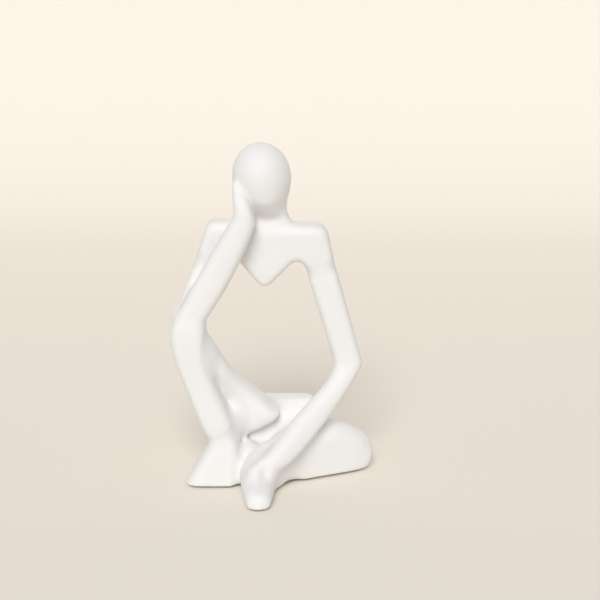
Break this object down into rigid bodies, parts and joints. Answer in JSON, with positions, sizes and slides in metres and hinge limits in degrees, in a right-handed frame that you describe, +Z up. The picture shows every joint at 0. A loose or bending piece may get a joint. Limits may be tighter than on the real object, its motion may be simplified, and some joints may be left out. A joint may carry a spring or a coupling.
{
  "type": "seated figure ornament",
  "caption": "Free-standing matte white cast-resin ornament of a faceless seated figure, one knee raised, one hand on its cheek, with an open loop framed by the arms, chest and legs.",
  "frame": {"origin": "bottom centre of the whole figure's box, on the surface it stands on", "axes": "+Z up, +Y to the figure's back, +X to the viewer's right"},
  "size_m": [0.0766, 0.0628, 0.1298],
  "materials": {
    "cast_resin": "matte white paint over cast resin",
    "dowel_steel": "plain drawn rod",
    "felt": "pressed felt"
  },
  "bodies": {
    "root": {"head": "cast_resin", "torso": "cast_resin", "right_upper_arm": "cast_resin", "right_forearm": "cast_resin", "left_upper_arm": "cast_resin", "left_forearm": "cast_resin", "pelvis": "cast_resin", "right_thigh": "cast_resin", "right_shin": "cast_resin", "right_foot": "cast_resin", "left_thigh": "cast_resin", "left_shin": "cast_resin", "left_foot": "cast_resin", "neck_pin": "dowel_steel", "shoulder_pins": "dowel_steel", "elbow_pins": "dowel_steel", "hip_pins": "dowel_steel", "knee_pins": "dowel_steel", "ankle_pins": "dowel_steel", "hand_pin": "dowel_steel", "floor_pads": "felt"}
  },
  "joints": []
}
